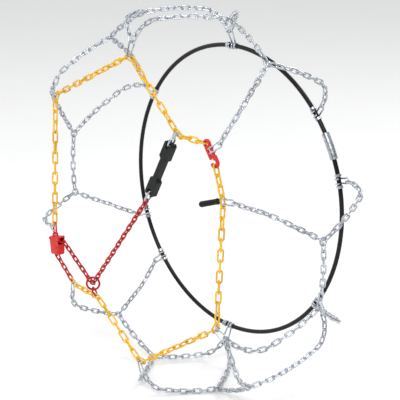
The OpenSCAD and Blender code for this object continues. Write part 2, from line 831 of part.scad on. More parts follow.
// ---- Inner cable ----
coupling_half = 5;
// Half of the opening between the cable's ends, inside the coupling
cable_opening = 0.5;
ferrule_half = 0.5;
ferrule_step = 2.1;

// Tube on the cable, centred at an angle round the wheel and "half" degrees long to both sides
module sleeve(angle, half, od) {
    translate([0, cable_y, 0])
        rotate([90, 0, 0])
            rotate(90 - angle - half)
                rotate_extrude(angle = 2 * half)
                    translate([cable_r, 0])
                        difference() {
                            circle(d = od);
                            circle(d = cable_d + 2 * slip);
                        }
}

module inner_cable() {
    color(black)
        translate([0, cable_y, 0])
            rotate([90, 0, 0])
                arc(cable_r, cable_d, 90 - coupling_at + cable_opening, 360 - 2 * cable_opening);
}

module cable_ferrules() {
    color(silver)
        for (angle = inner_clip_angles, s = [-1, 1])
            sleeve(angle + s * ferrule_step, ferrule_half, cable_d + 4);
}

module cable_coupling() {
    color(silver) sleeve(coupling_at, coupling_half, cable_d + 6);
}

// Rubber-sleeved end beside clip G, pointing in to the wheel
module black_grip() {
    start = g_at - 8.5 * g_out + [0, -1, 0];
    dir = -unit([0.951, 0.25, 0.309]);
    grip_l = 34;
    grip_d = 11;
    color(black)
        placed(start, dir, out_up) {
            rotate([0, 90, 0]) cylinder(h = grip_l, d = grip_d);
            translate([grip_l, 0, 0]) sphere(d = grip_d);
        }
}

for (i = [1 : 12]) outer_cross(i - 1);
for (i = [1 : 12]) inner_cross(i - 1);
for (i = [1 : 6]) centre_run(i - 1);
junction_rings();
outer_clips();
inner_clips();
side_chain_cb();
side_chain_ba();
side_chain_ah();
side_chain_gh();
side_chain_fg();
side_chain_ef();
side_chain_de();
closing_hook();
lock_shackle();
lock_strand();
return_strand();
pull_chain();
guide_ring();
ring_shackle();
chain_connector();
tensioner_band();
tensioner_hook();
lock_housing();
lock_cover();
lock_pins();
lock_roller();
lock_pawl();
lock_spring();
inner_cable();
cable_ferrules();
cable_coupling();
black_grip();
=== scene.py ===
import json
import math

import bmesh
import bpy
import numpy as np
from mathutils import Matrix, Vector

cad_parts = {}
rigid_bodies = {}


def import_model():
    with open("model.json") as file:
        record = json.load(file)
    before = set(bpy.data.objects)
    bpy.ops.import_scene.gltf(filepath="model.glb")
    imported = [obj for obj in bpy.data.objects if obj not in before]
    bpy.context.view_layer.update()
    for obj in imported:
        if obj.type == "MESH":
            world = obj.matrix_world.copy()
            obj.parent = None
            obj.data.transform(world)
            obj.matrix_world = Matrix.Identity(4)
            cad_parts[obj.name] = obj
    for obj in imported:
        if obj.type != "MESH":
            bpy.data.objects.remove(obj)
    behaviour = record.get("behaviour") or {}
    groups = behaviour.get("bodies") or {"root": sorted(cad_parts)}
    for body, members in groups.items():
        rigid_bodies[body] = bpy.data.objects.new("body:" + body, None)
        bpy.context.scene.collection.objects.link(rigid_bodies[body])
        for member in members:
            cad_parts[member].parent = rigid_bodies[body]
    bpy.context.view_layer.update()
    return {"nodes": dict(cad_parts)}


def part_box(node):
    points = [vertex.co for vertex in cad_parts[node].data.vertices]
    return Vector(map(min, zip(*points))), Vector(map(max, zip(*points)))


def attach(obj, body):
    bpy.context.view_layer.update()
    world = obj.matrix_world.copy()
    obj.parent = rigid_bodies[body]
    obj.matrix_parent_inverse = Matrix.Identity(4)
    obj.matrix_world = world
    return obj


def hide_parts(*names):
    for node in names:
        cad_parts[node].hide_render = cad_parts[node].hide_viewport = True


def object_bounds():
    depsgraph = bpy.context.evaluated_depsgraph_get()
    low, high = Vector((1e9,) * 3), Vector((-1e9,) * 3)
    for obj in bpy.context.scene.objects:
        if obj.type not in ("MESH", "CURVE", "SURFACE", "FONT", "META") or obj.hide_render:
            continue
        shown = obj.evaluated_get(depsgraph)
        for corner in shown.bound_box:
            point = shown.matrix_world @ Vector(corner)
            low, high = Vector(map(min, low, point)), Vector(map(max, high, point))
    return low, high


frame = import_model()

# Diamond-pattern snow chains, closed round the shape of a tyre that isn't shown.
# Every link is built here at the place and size of its CAD solid: a swept wire with a weld,
# worn where it rubs on its neighbours and where it meets the road. All lengths are metres.

MM = 0.001
RANDOM = np.random.default_rng(7)

# ---------------------------------------------------------------- camera
# The wheel as the camera sees it: turned 48 degrees from the outer face, from a little above.
VIEW_AZIMUTH = math.radians(48.0966)
VIEW_ELEVATION = math.radians(16.0333)
VIEW_DISTANCE = 2.2693
VIEW_SIDEWAYS = 0.021
VIEW_UP = 0.0022
SENSOR = 36.0
FOCAL_WIDTHS = 3.12668  # focal length over the picture's width


def add_camera():
    a, e = VIEW_AZIMUTH, VIEW_ELEVATION
    back = Vector((math.sin(a) * math.cos(e), -math.cos(a) * math.cos(e), math.sin(e)))
    right = Vector((math.cos(a), math.sin(a), 0))
    up = back.cross(right)
    data = bpy.data.cameras.new("camera")
    data.sensor_width = SENSOR
    data.lens = SENSOR * FOCAL_WIDTHS
    data.clip_end = 50
    camera = bpy.data.objects.new("camera", data)
    bpy.context.scene.collection.objects.link(camera)
    place = back * VIEW_DISTANCE + right * VIEW_SIDEWAYS + up * VIEW_UP
    turn = Matrix((right, up, back)).transposed()
    camera.matrix_world = Matrix.Translation(place) @ turn.to_4x4()
    bpy.context.scene.camera = camera


# ---------------------------------------------------------------- materials
POLISHED_ZINC = (0.86, 0.87, 0.89, 1)
GRIME = (0.17, 0.165, 0.16, 1)
ROAD_DUST = (0.30, 0.25, 0.20, 1)
BARE_STEEL = (0.46, 0.45, 0.44, 1)
FINE_BUMP = 0.12 * MM
BROAD_BUMP = 0.3 * MM


class Shader:
    """One procedural material: a Principled shader and the nodes that feed it.

    Noise and cell scales are per metre, and a noise's middle value is 0.5.
    """

    def __init__(self, name):
        self.material = bpy.data.materials.new(name)
        self.material.use_nodes = True
        self.tree = self.material.node_tree
        self.tree.nodes.clear()
        surface = self.tree.nodes.new("ShaderNodeOutputMaterial").inputs["Surface"]
        self.skin = self.tree.nodes.new("ShaderNodeBsdfPrincipled")
        self.tree.links.new(self.skin.outputs[0], surface)
        self.place = self.tree.nodes.new("ShaderNodeTexCoord").outputs["Object"]

    def fix(self, **values):
        """Sets the shader's own sockets to values that are the same all over."""
        for key, value in values.items():
            self.skin.inputs[key.replace("_", " ")].default_value = value

    def feed(self, socket, value):
        """Links a node's output to one of the shader's sockets."""
        self.tree.links.new(value, self.skin.inputs[socket])

    def put(self, node, index, value):
        """Links a helper node's input if the value is another node's output, and sets it if not."""
        if isinstance(value, bpy.types.NodeSocket):
            self.tree.links.new(value, node.inputs[index])
        else:
            node.inputs[index].default_value = value

    def noise(self, scale, detail, rough):
        node = self.tree.nodes.new("ShaderNodeTexNoise")
        node.inputs["Scale"].default_value = scale
        node.inputs["Detail"].default_value = detail
        node.inputs["Roughness"].default_value = rough
        self.tree.links.new(self.place, node.inputs["Vector"])
        return node.outputs["Fac"]

    def cells(self, scale):
        node = self.tree.nodes.new("ShaderNodeTexVoronoi")
        node.inputs["Scale"].default_value = scale
        self.tree.links.new(self.place, node.inputs["Vector"])
        grey = self.tree.nodes.new("ShaderNodeRGBToBW")
        self.tree.links.new(node.outputs["Color"], grey.inputs[0])
        return grey.outputs[0]

    def told(self, name):
        """What the mesh itself says at each point, under this attribute name."""
        node = self.tree.nodes.new("ShaderNodeAttribute")
        node.attribute_name = name
        return node.outputs["Fac"]

    def maths(self, kind, a, b):
        node = self.tree.nodes.new("ShaderNodeMath")
        node.operation = kind
        self.put(node, 0, a)
        self.put(node, 1, b)
        return node.outputs[0]

    def ranged(self, value, low, high, to_low, to_high):
        node = self.tree.nodes.new("ShaderNodeMapRange")
        node.clamp = True
        for index, v in enumerate((value, low, high, to_low, to_high)):
            self.put(node, index, v)
        return node.outputs[0]

    def mixed(self, share, a, b, kind="MIX"):
        node = self.tree.nodes.new("ShaderNodeMix")
        node.data_type = "RGBA"
        node.blend_type = kind
        self.put(node, 0, share)
        self.put(node, 6, a)
        self.put(node, 7, b)
        return node.outputs[2]

    def bump(self, height, strength, distance, under=None):
        node = self.tree.nodes.new("ShaderNodeBump")
        node.inputs["Strength"].default_value = strength
        node.inputs["Distance"].default_value = distance
        self.tree.links.new(height, node.inputs["Height"])
        if under is not None:
            self.tree.links.new(under, node.inputs["Normal"])
        return node.outputs[0]


def zinc(name, light, dark, rough):
    """Zinc-plated steel: small crystals, dull streaks, and a polish where it rubs."""
    s = Shader(name)
    streak = s.noise(240, 5, 0.6)
    crystal = s.cells(420)
    grime = s.ranged(s.noise(90, 4, 0.6), 0.52, 0.78, 0.0, 0.45)
    rub = s.told("rub")
    tone = s.ranged(s.told("tone"), 0.0, 1.0, 0.86, 1.06)
    plated = s.mixed(s.ranged(streak, 0.35, 0.65, 0.0, 1.0), dark, light)
    plated = s.mixed(0.12, plated, crystal, "OVERLAY")
    plated = s.mixed(1.0, plated, tone, "MULTIPLY")
    unrubbed = s.maths("SUBTRACT", 1.0, rub)
    dulled = s.mixed(s.maths("MULTIPLY", grime, unrubbed), plated, GRIME)
    shine = s.mixed(s.maths("MULTIPLY", rub, 0.6), dulled, POLISHED_ZINC)
    s.feed("Base Color", shine)
    s.feed("Metallic", s.ranged(grime, 0.0, 0.45, 0.94, 0.55))
    worn = s.maths("MULTIPLY", rub, -0.14)
    s.feed("Roughness", s.maths("ADD", s.ranged(streak, 0.3, 0.7, rough - 0.07, rough + 0.1), worn))
    fine = s.bump(s.noise(1500, 3, 0.6), 0.25, FINE_BUMP)
    s.feed("Normal", s.bump(s.noise(330, 3, 0.5), 0.3, BROAD_BUMP, fine))
    return s.material


def coated(name, colour, deep, rough, chip_at):
    """A coloured coat on steel: uneven tone and gloss, and chips to bare metal where it rubs."""
    s = Shader(name)
    broad = s.noise(45, 3, 0.5)
    middle = s.noise(260, 4, 0.6)
    grit = s.noise(1300, 3, 0.65)
    tone = s.ranged(s.told("tone"), 0.0, 1.0, 0.88, 1.08)
    rub = s.told("rub")
    coat = s.mixed(s.ranged(middle, 0.35, 0.7, 0.0, 1.0), deep, colour)
    coat = s.mixed(1.0, coat, tone, "MULTIPLY")
    dust = s.ranged(broad, 0.55, 0.8, 0.0, 0.05)
    coat = s.mixed(dust, coat, ROAD_DUST)
    ragged = s.maths("ADD", rub, s.ranged(middle, 0.3, 0.7, -0.22, 0.22))
    chip = s.ranged(ragged, chip_at, chip_at + 0.1, 0.0, 1.0)
    s.feed("Base Color", s.mixed(chip, coat, BARE_STEEL))
    s.feed("Metallic", s.ranged(chip, 0.0, 1.0, 0.0, 0.95))
    s.feed("Roughness", s.ranged(grit, 0.3, 0.7, rough - 0.06, rough + 0.1))
    s.fix(Coat_Weight=0.12, Coat_Roughness=0.12, Specular_IOR_Level=0.3)
    fine = s.bump(grit, 0.22, FINE_BUMP)
    height = s.maths("SUBTRACT", middle, s.maths("MULTIPLY", chip, 0.35))
    s.feed("Normal", s.bump(height, 0.3, BROAD_BUMP, fine))
    return s.material


def rubber(name, dark, light, rough, grain):
    """Moulded rubber or soft plastic: fine grain, and dusty greying in broad patches."""
    s = Shader(name)
    broad = s.noise(70, 4, 0.6)
    fine = s.noise(grain, 4, 0.7)
    patches = s.ranged(broad, 0.45, 0.72, 0.0, 0.8)
    specks = s.ranged(fine, 0.35, 0.65, 0.3, 1.0)
    s.feed("Base Color", s.mixed(s.maths("MULTIPLY", patches, specks), dark, light))
    s.feed("Roughness", s.ranged(broad, 0.3, 0.7, rough - 0.08, rough + 0.1))
    s.fix(Specular_IOR_Level=0.25)
    grainy = s.bump(fine, 0.35, 0.2 * MM)
    s.feed("Normal", s.bump(broad, 0.15, 0.8 * MM, grainy))
    return s.material


def plain_floor():
    """A pale floor, very slightly mottled."""
    s = Shader("floor_pale")
    pale, paler = (0.88, 0.88, 0.88, 1), (0.91, 0.91, 0.91, 1)
    s.feed("Base Color", s.mixed(s.noise(3, 4, 0.5), pale, paler))
    s.feed("Roughness", s.ranged(s.noise(20, 3, 0.5), 0.3, 0.7, 0.75, 0.9))
    return s.material


# The record's material slots, and the material that each one gets
MATERIALS = {
    "galvanised": zinc("galvanised_steel", (0.66, 0.70, 0.75, 1), (0.36, 0.39, 0.435, 1), 0.3),
    "lock_steel": zinc("lock_steel", (0.50, 0.51, 0.53, 1), (0.33, 0.335, 0.35, 1), 0.34),
    "yellow_paint": coated("yellow_coat", (0.96, 0.60, 0.012, 1), (0.74, 0.39, 0.004, 1), 0.32, 0.86),
    "red_paint": coated("red_coat", (0.62, 0.006, 0.008, 1), (0.38, 0.003, 0.004, 1), 0.32, 0.9),
    "bright_red": coated("bright_red_coat", (0.74, 0.018, 0.010, 1), (0.56, 0.009, 0.006, 1), 0.36, 0.93),
    "rubber": rubber("black_rubber", (0.0045, 0.005, 0.0055, 1), (0.026, 0.028, 0.030, 1), 0.5, 1400),
    "cable_sleeve": rubber(
        "cable_sleeve_plastic", (0.004, 0.004, 0.005, 1), (0.016, 0.016, 0.018, 1), 0.36, 700
    ),
}


# ---------------------------------------------------------------- reading the CAD solids
JOIN_DISTANCE = 0.002 * MM


def welded(node):
    """A node's points and triangles, with points in the same place joined."""
    cad = frame["nodes"][node]
    mesh = cad.data
    co = np.empty(len(mesh.vertices) * 3)
    mesh.vertices.foreach_get("co", co)
    to_row = np.array(cad.matrix_world)
    co = co.reshape(-1, 3) @ to_row[:3, :3].T + to_row[:3, 3]
    mesh.calc_loop_triangles()
    tris = np.empty(len(mesh.loop_triangles) * 3, np.int64)
    mesh.loop_triangles.foreach_get("vertices", tris)
    steps = np.round(co / JOIN_DISTANCE).astype(np.int64)
    _, first, same = np.unique(steps, axis=0, return_index=True, return_inverse=True)
    return co[first], same.reshape(-1)[tris].reshape(-1, 3)


def solids(node):
    """The node's separate solids, each as (points, triangles), in a fixed order."""
    points, tris = welded(node)
    label = np.arange(len(points))
    # Each point takes the lowest label in its triangles, until a solid has one label all over
    while True:
        low = label[tris].min(1)
        new = label.copy()
        for k in range(3):
            np.minimum.at(new, tris[:, k], low)
        new = new[new]
        if (new == label).all():
            break
        label = new
    found = []
    for mark in np.unique(label[tris[:, 0]]):
        mine = tris[label[tris[:, 0]] == mark]
        used, again = np.unique(mine, return_inverse=True)
        found.append((points[used], again.reshape(-1, 3)))
    return found


class Place:
    """Where a closed shape is: its centre of surface, its three main directions and its size.

    The first direction is the longest. The first and third are turned so that the shape's
    heavier side is the positive one, and the second completes them.
    """

    def __init__(self, points, tris):
        a, b, c = (points[tris[:, k]] for k in range(3))
        area = np.linalg.norm(np.cross(b - a, c - a), axis=1) / 2
        self.area = area.sum()
        middle = (a + b + c) / 3
        self.centre = (middle * area[:, None]).sum(0) / self.area
        # Second moments of the surface, from each pair of a triangle's corners
        spread = np.zeros((3, 3))
        for p, q in ((a, a), (b, b), (c, c), (a, b), (b, a), (a, c), (c, a), (b, c), (c, b)):
            spread += np.einsum("n,ni,nj->ij", area, p - self.centre, q - self.centre)
        _, axes = np.linalg.eigh(spread)
        axes = axes[:, ::-1]
        local = (middle - self.centre) @ axes
        skew = (local**3 * area[:, None]).sum(0)
        for k in (0, 2):
            if skew[k] < 0:
                axes[:, k] = -axes[:, k]
        axes[:, 1] = np.cross(axes[:, 2], axes[:, 0])
        self.axes = axes
        span = (points - self.centre) @ axes
        low, high = span.min(0), span.max(0)
        self.size = high - low
        self.middle = self.centre + axes @ ((low + high) / 2)


# ---------------------------------------------------------------- building meshes
EVEN_TONE = 0.6


class Batch:
    """Many small meshes gathered into one piece, with how rubbed and how light each point is."""

    def __init__(self):
        self.points, self.faces, self.rub, self.tone = [], [], [], []
        self.count = 0

    def add(self, points, faces, rub, tone=None):
        """Adds one mesh. Without a tone of its own it gets a random one."""
        self.points.append(points)
        self.faces += [[i + self.count for i in f] for f in faces]
        self.rub.append(rub)
        self.tone.append(np.full(len(points), RANDOM.random() if tone is None else tone))
        self.count += len(points)

    def piece(self, name, body, slot, node):
        mesh = bpy.data.meshes.new(name)
        mesh.from_pydata(np.concatenate(self.points).tolist(), [], self.faces)
        mesh.polygons.foreach_set("use_smooth", np.ones(len(mesh.polygons), bool))
        tell(mesh, "rub", np.concatenate(self.rub))
        tell(mesh, "tone", np.concatenate(self.tone))
        mesh.update()
        mesh.validate()
        finish_piece(mesh, body, slot, node)


def tell(mesh, key, values):
    """Writes one value per point into the mesh, for the materials to read."""
    layer = mesh.attributes.new(key, "FLOAT", "POINT")
    layer.data.foreach_set("value", values.astype(np.float32))


def tell_evenly(mesh):
    """Nothing rubbed, and one tone all over."""
    tell(mesh, "rub", np.zeros(len(mesh.vertices)))
    tell(mesh, "tone", np.full(len(mesh.vertices), EVEN_TONE))


def finish_piece(mesh, body, slot, node):
    """Makes a piece of the mesh, under its name, that rides on a body and stands for a node."""
    piece = bpy.data.objects.new(mesh.name, mesh)
    bpy.context.scene.collection.objects.link(piece)
    mesh.materials.clear()
    mesh.materials.append(MATERIALS[slot])
    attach(piece, body)
    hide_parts(node)
    return piece


def directions(path, closed):
    """The path's own direction at each of its points."""
    after = np.roll(path, -1, 0) - path
    before = path - np.roll(path, 1, 0)
    if not closed:
        after[-1], before[0] = before[-1], after[0]
    after = after / np.linalg.norm(after, axis=1)[:, None]
    before = before / np.linalg.norm(before, axis=1)[:, None]
    along = after + before
    return along / np.linalg.norm(along, axis=1)[:, None]


def skin(rings, sides, closed=False):
    """Faces between rings of points. A stack that isn't closed gets a cap on its first and last."""
    faces = []
    for i in range(rings if closed else rings - 1):
        j = (i + 1) % rings
        for k in range(sides):
            m = (k + 1) % sides
            faces.append([i * sides + k, i * sides + m, j * sides + m, j * sides + k])
    if not closed:
        faces.append(list(range(sides))[::-1])
        faces.append([(rings - 1) * sides + k for k in range(sides)])
    return faces


def swept(path, radii, sides, closed, up):
    """A round wire along a path: (points, faces, outward directions). Open ends are rounded off."""
    path, radii = np.asarray(path, float), np.asarray(radii, float)
    along = directions(path, closed)
    if not closed:
        path, radii, along = rounded_ends(path, radii, along)
    rings, outs = [], []
    up = np.asarray(up, float)
    angles = 2 * math.pi * np.arange(sides) / sides
    for p, r, t in zip(path, radii, along):
        up = up - t * (up @ t)
        up = up / np.linalg.norm(up)
        side = np.cross(up, t)
        out = np.cos(angles)[:, None] * side + np.sin(angles)[:, None] * up
        rings.append(p + r * out)
        outs.append(out)
    faces = [f[::-1] for f in skin(len(path), sides, closed)]
    return np.concatenate(rings), faces, np.concatenate(outs)


END_ROUNDING = 0.45  # share of the wire's radius
END_TURNS = np.radians([80, 55, 30])


def rounded_ends(path, radii, along):
    """Adds a few shrinking rings at both ends, so that a cut wire isn't a sharp disc."""
    reach = END_ROUNDING * np.sin(END_TURNS)[:, None]
    slim = 1 - END_ROUNDING * (1 - np.cos(END_TURNS))
    head = path[0] - along[0] * radii[0] * reach
    tail = path[-1] + along[-1] * radii[-1] * reach[::-1]
    extra = len(END_TURNS)
    return (
        np.concatenate([head, path, tail]),
        np.concatenate([radii[0] * slim, radii, radii[-1] * slim[::-1]]),
        np.concatenate([[along[0]] * extra, along, [along[-1]] * extra]),
    )


def soft_step(x, low, high):
    """0 up to low, 1 from high on, and smooth between them."""
    t = np.clip((x - low) / (high - low), 0, 1)
    return t * t * (3 - 2 * t)


TREAD_HALF = 80 * MM
SHOULDER = 26 * MM


def away_from_tyre(point):
    """The direction off the tyre's surface at a point on the net: radial on the tread, then sideways."""
    across = min(max((abs(point[1]) - TREAD_HALF) / SHOULDER, 0), 1)
    radial = np.array([point[0], 0, point[2]])
    sideways = np.array([0, math.copysign(1, point[1]), 0])
    v = radial / np.linalg.norm(radial) * (1 - across) + sideways * across
    return v / np.linalg.norm(v)


# ---------------------------------------------------------------- links, rings and clips
LINK_SIDES = 12
CORNER_POINTS = 7
STRAIGHT_POINTS = 9
DOUBLED_POINT = 0.001 * MM
WELD_REACH = 1.5 * MM
WELD_RISE = 0.15  # share of the wire's radius
WIRE_WAVER = 0.008  # share of the wire's radius
WAVER_TURN = 1.7 / MM  # radians per metre of link
MOST_PHASE = 6
LINK_RUB = 0.95
ROAD_FACING = 0.55  # cosine from which a link's side faces the road


def link_path(half_long, half_wide, corner):
    """Centre line of a link in its own plane, from the middle of its right end, anticlockwise."""
    path = []
    for turn, (sx, sy) in enumerate(((1, 1), (-1, 1), (-1, -1), (1, -1))):
        x, y = sx * (half_long - corner), sy * (half_wide - corner)
        for k in range(CORNER_POINTS):
            a = math.radians(90 * turn + 90 * k / (CORNER_POINTS - 1))
            path.append((x + corner * math.cos(a), y + corner * math.sin(a), 0))
        if turn in (0, 2):
            steps = np.linspace(1, -1, STRAIGHT_POINTS + 2)[1:-1] * x
            path += [(step, sy * half_wide, 0) for step in steps]
    path = np.array(path)
    apart = np.linalg.norm(np.roll(path, -1, 0) - path, axis=1) > DOUBLED_POINT
    return path[apart]


def add_link(batch, place, squareness, worn_by_road):
    """One welded wire link in the place of a CAD link."""
    wire = place.size[2] / 2
    half_long, half_wide = place.size[0] / 2 - wire, place.size[1] / 2 - wire
    corner = half_wide * squareness
    path = link_path(half_long, half_wide, corner)
    near_weld = np.exp(-((path[:, 0] / WELD_REACH) ** 2)) * (path[:, 1] > 0)
    uneven = 1 + WIRE_WAVER * np.sin(path[:, 0] * WAVER_TURN + RANDOM.random() * MOST_PHASE)
    radii = wire * (uneven + WELD_RISE * near_weld)
    flip = RANDOM.random() < 0.5
    points, faces, out = swept(path, radii, LINK_SIDES, True, (0, 0, 1))
    at_end = soft_step(np.abs(points[:, 0]), half_long - corner - wire, half_long)
    inward = np.clip(-out[:, 0] * np.sign(points[:, 0]), 0, 1)
    rub = LINK_RUB * at_end * inward**2
    axes = place.axes @ np.diag([-1, -1, 1]) if flip else place.axes
    outward = away_from_tyre(place.middle)
    road = soft_step((out @ axes.T) @ outward, ROAD_FACING, 1.0) * worn_by_road
    batch.add(place.middle + points @ axes.T, faces, np.maximum(rub, road))


def chain(node, body, slot, squareness, worn_by_road=0.0):
    """Every link of a node. Squareness is a corner's radius as a share of the link's half width."""
    batch = Batch()
    for solid in solids(node):
        add_link(batch, Place(*solid), squareness, worn_by_road)
    batch.piece(node + "_links", body, slot, node)


RING_POINTS = 44
RING_SIDES = 14
RING_WELD_RISE = 0.12  # share of the wire's radius
RING_RUB = 0.8


def add_ring(batch, place):
    """A welded wire ring in the place of a CAD ring."""
    wire = place.size[2] / 2
    radius = place.size[0] / 2 - wire
    turn = np.arange(RING_POINTS) / RING_POINTS * 2 * math.pi
    path = np.c_[radius * np.cos(turn), radius * np.sin(turn), 0 * turn]
    near_weld = np.exp(-((np.minimum(turn, 2 * math.pi - turn) * radius / WELD_REACH) ** 2))
    radii = wire * (1 + RING_WELD_RISE * near_weld)
    points, faces, out = swept(path, radii, RING_SIDES, True, (0, 0, 1))
    inner = np.clip(-(out * path.repeat(RING_SIDES, 0)).sum(1) / radius, 0, 1)
    batch.add(place.middle + points @ place.axes.T, faces, RING_RUB * inner**2)


def rings(node, body, slot):
    """Every ring of a node."""
    batch = Batch()
    for solid in solids(node):
        add_ring(batch, Place(*solid))
    batch.piece(node + "_wire", body, slot, node)


CLIP_WIRE = 3.0 * MM / 2
CLIP_FOOT = 4.1 * MM  # from the clip's middle line to a foot's plane
CLIP_WRAP = math.radians(245)
CLIP_SIDES = 14
CLIP_RUB = 0.9
FOOT_STEPS = 18
BEND_STEPS = 16
LEG_SHARES = (0.15, 0.35, 0.6, 0.85)
# Radius that a foot is curled to: round the side chain, the inner cable or the closing hook's plate
SIDE_CORE = 3.22 * MM
CABLE_CORE = 5.62 * MM
PLATE_CORE = 4.573 * MM


def clip_path(reach, bend, core):
    """Centre line of a clip: a foot curled round its wire, a leg, the bend, and back."""
    curl = [math.radians(90) + CLIP_WRAP * (1 - k / FOOT_STEPS) for k in range(FOOT_STEPS + 1)]
    foot = [(core * math.cos(a), -CLIP_FOOT, core * math.sin(a)) for a in curl]
    leg = [(reach * t, -(CLIP_FOOT + (bend - CLIP_FOOT) * t), core) for t in LEG_SHARES]
    turns = [math.radians(-90 + 180 * k / BEND_STEPS) for k in range(BEND_STEPS + 1)]
    loop = [(reach + bend * math.cos(a), bend * math.sin(a), core) for a in turns]
    back = [(x, -y, z) for x, y, z in (foot + leg)[::-1]]
    return np.array(foot + leg + loop + back)


def fan(faces):
    """The faces' triangles, each face split from its first corner."""
    return np.array([[f[0], f[k], f[k + 1]] for f in faces for k in range(1, len(f) - 1)])


def add_clip(batch, target, core):
    """A bent wire clip laid over a CAD clip, with the same bend, length of wire and place."""
    bend = target.size[1] / 2 - CLIP_WIRE
    length = target.area / (2 * math.pi * CLIP_WIRE)
    leg = (length - 2 * CLIP_WRAP * core - math.pi * bend) / 2
    reach = math.sqrt(leg**2 - (bend - CLIP_FOOT) ** 2)
    path = clip_path(reach, bend, core)
    points, faces, out = swept(path, np.full(len(path), CLIP_WIRE), CLIP_SIDES, False, (0, 1, 0))
    own = Place(points, fan(faces))
    turn = target.axes @ own.axes.T
    at_bend = soft_step(points[:, 0], reach, reach + bend)
    rub = CLIP_RUB * at_bend * np.clip(-out[:, 0], 0, 1) ** 2
    batch.add((points - own.centre) @ turn.T + target.centre, faces, rub)


def clips(node, body, slot, core, odd_core=None, odd_near=None):
    """Every clip of a node. The one nearest to odd_near, if that's given, is curled to odd_core."""
    batch = Batch()
    places = [Place(*solid) for solid in solids(node)]
    odd = None
    if odd_near is not None:
        odd = min(places, key=lambda place: np.linalg.norm(place.centre - odd_near))
    for place in places:
        add_clip(batch, place, odd_core if place is odd else core)
    batch.piece(node + "_wire", body, slot, node)


# ---------------------------------------------------------------- solid parts with worked edges
SAME_FACE = math.radians(1)
REAL_EDGE = math.radians(35)
BEVEL_STEPS = 4


def edged(node, body, slot, bevel, inner=None):
    """A CAD solid with its outer edges rounded over by "bevel", and its inner corners by "inner"."""
    inner_share = 1.0 if inner is None else inner / bevel
    points, tris = welded(node)
    work = bmesh.new()
    made = [work.verts.new(p) for p in points]
    for t in tris:
        if len(set(t)) == 3:
            try:
                work.faces.new([made[i] for i in t])
            except ValueError:
                pass  # two triangles on the same three points
    bmesh.ops.dissolve_limit(work, angle_limit=SAME_FACE, verts=work.verts, edges=work.edges)
    weight = work.edges.layers.float.new("bevel_weight_edge")
    for edge in work.edges:
        if len(edge.link_faces) == 2 and edge.calc_face_angle(0) > REAL_EDGE:
            edge[weight] = 1.0 if edge.is_convex else inner_share
    for face in work.faces:
        face.smooth = True
    mesh = bpy.data.meshes.new(node + "_edged")
    work.to_mesh(mesh)
    work.free()
    tell_evenly(mesh)
    piece = finish_piece(mesh, body, slot, node)
    round_over = piece.modifiers.new("edges", "BEVEL")
    round_over.width = bevel
    round_over.segments = BEVEL_STEPS
    round_over.limit_method = "WEIGHT"
    round_over.harden_normals = True


SHELL_STEPS = 8


def shell(outline, depth, rounding):
    """A closed block over a 2-D outline, from depth 0 to "depth", with both rims rounded over."""
    half = np.ptp(outline, axis=0) / 2
    middle = (outline.max(0) + outline.min(0)) / 2
    turns = np.radians(np.linspace(0, 90, SHELL_STEPS))
    layers = [(rounding * (1 - math.sin(t)), rounding * (1 - math.cos(t))) for t in turns]
    levels = layers + [(inset, depth - rise) for inset, rise in layers[::-1]]
    points = []
    for inset, level in levels:
        flat = middle + (outline - middle) * (1 - inset / half)
        points.append(np.c_[flat, np.full(len(outline), level)])
    return np.concatenate(points), skin(len(levels), len(outline))


def turns_right(a, b, c):
    """Whether the path from a over b to c turns right, or runs straight on."""
    return (b[0] - a[0]) * (c[1] - b[1]) - (b[1] - a[1]) * (c[0] - b[0]) <= 0


def hull_outline(flat):
    """The convex outline of 2-D points, anticlockwise."""
    order = sorted(map(tuple, np.round(flat, 6)))
    sides = []
    for run in (order, order[::-1]):
        side = []
        for p in run:
            while len(side) > 1 and turns_right(side[-2], side[-1], p):
                side.pop()
            side.append(p)
        sides += side[:-1]
    return np.array(sides)


def plain_mesh(name, points, faces):
    """A mesh with nothing but points and faces."""
    mesh = bpy.data.meshes.new(name)
    mesh.from_pydata(np.asarray(points).tolist(), [], [list(map(int, f)) for f in faces])
    mesh.update()
    return mesh


LOCK_ROUNDING = 3.2 * MM
SOFT_BEND = math.radians(28)


def lock_block(name, keep):
    """A soft-edged block over the lock's outline, from the cover's face to the housing's back.

    "keep" is a box that is joined to it, where the lock stays as it is.
    """
    cover, cover_tris = welded("lock_cover")
    housing, _ = welded("lock_housing")
    place = Place(cover, cover_tris)
    flat_x, flat_z = place.axes[:, 0], place.axes[:, 1]
    outline = hull_outline(np.c_[cover @ flat_x, cover @ flat_z])
    front, back = cover[:, 1].min(), housing[:, 1].max()
    points, faces = shell(outline, back - front, LOCK_ROUNDING)
    placed = points[:, :1] * flat_x + points[:, 1:2] * flat_z
    placed[:, 1] = front + points[:, 2]
    mesh = plain_mesh(name, placed, faces)
    work = bmesh.new()
    work.from_mesh(mesh)
    if keep is not None:
        low, high = keep
        for v in bmesh.ops.create_cube(work, size=1)["verts"]:
            v.co = [low[k] if v.co[k] < 0 else high[k] for k in range(3)]
    bmesh.ops.recalc_face_normals(work, faces=work.faces)
    work.to_mesh(mesh)
    work.free()
    return mesh


